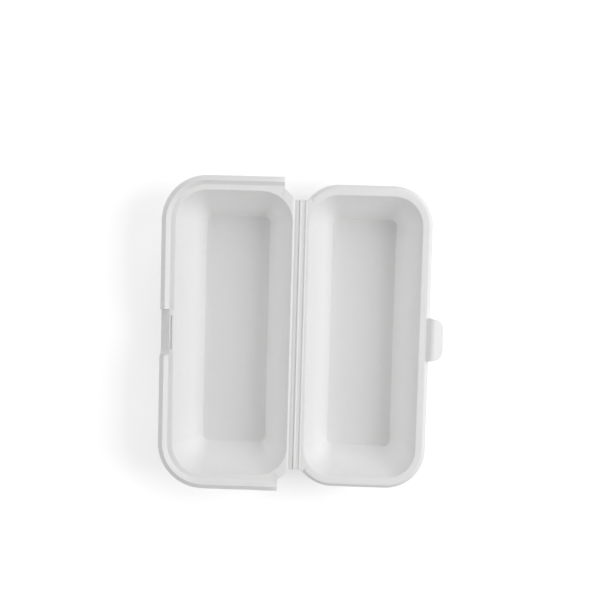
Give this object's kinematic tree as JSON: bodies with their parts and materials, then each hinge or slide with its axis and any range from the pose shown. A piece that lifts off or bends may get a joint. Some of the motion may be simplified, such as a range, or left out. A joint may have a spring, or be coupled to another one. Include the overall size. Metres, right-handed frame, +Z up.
{
  "type": "foam hot dog box",
  "caption": "Long white foam clamshell box for a hot dog, lying open: base tray with a locking tongue, fold hinge, and a lid tray with a raised rim and a slit for the tongue.",
  "frame": {"origin": "middle of the base tray's flat underside, on the table", "axes": "+X across the fold, away from the lid and towards the tongue; +Y along the fold; +Z up, out of the open trays"},
  "size_m": [0.1707, 0.1902, 0.0344],
  "materials": {
    "foam": "white pressed polystyrene foam sheet, satin skin with very fine cells"
  },
  "bodies": {
    "base": {"base_tray": "foam"},
    "lid": {"lid_tray": "foam"}
  },
  "joints": [
    {"name": "lid_hinge", "type": "hinge", "parent": "base", "child": "lid", "pos_m": [-0.0395, 0, 0.03235], "axis": [0, 1, 0], "range_deg": [0, 180]}
  ]
}
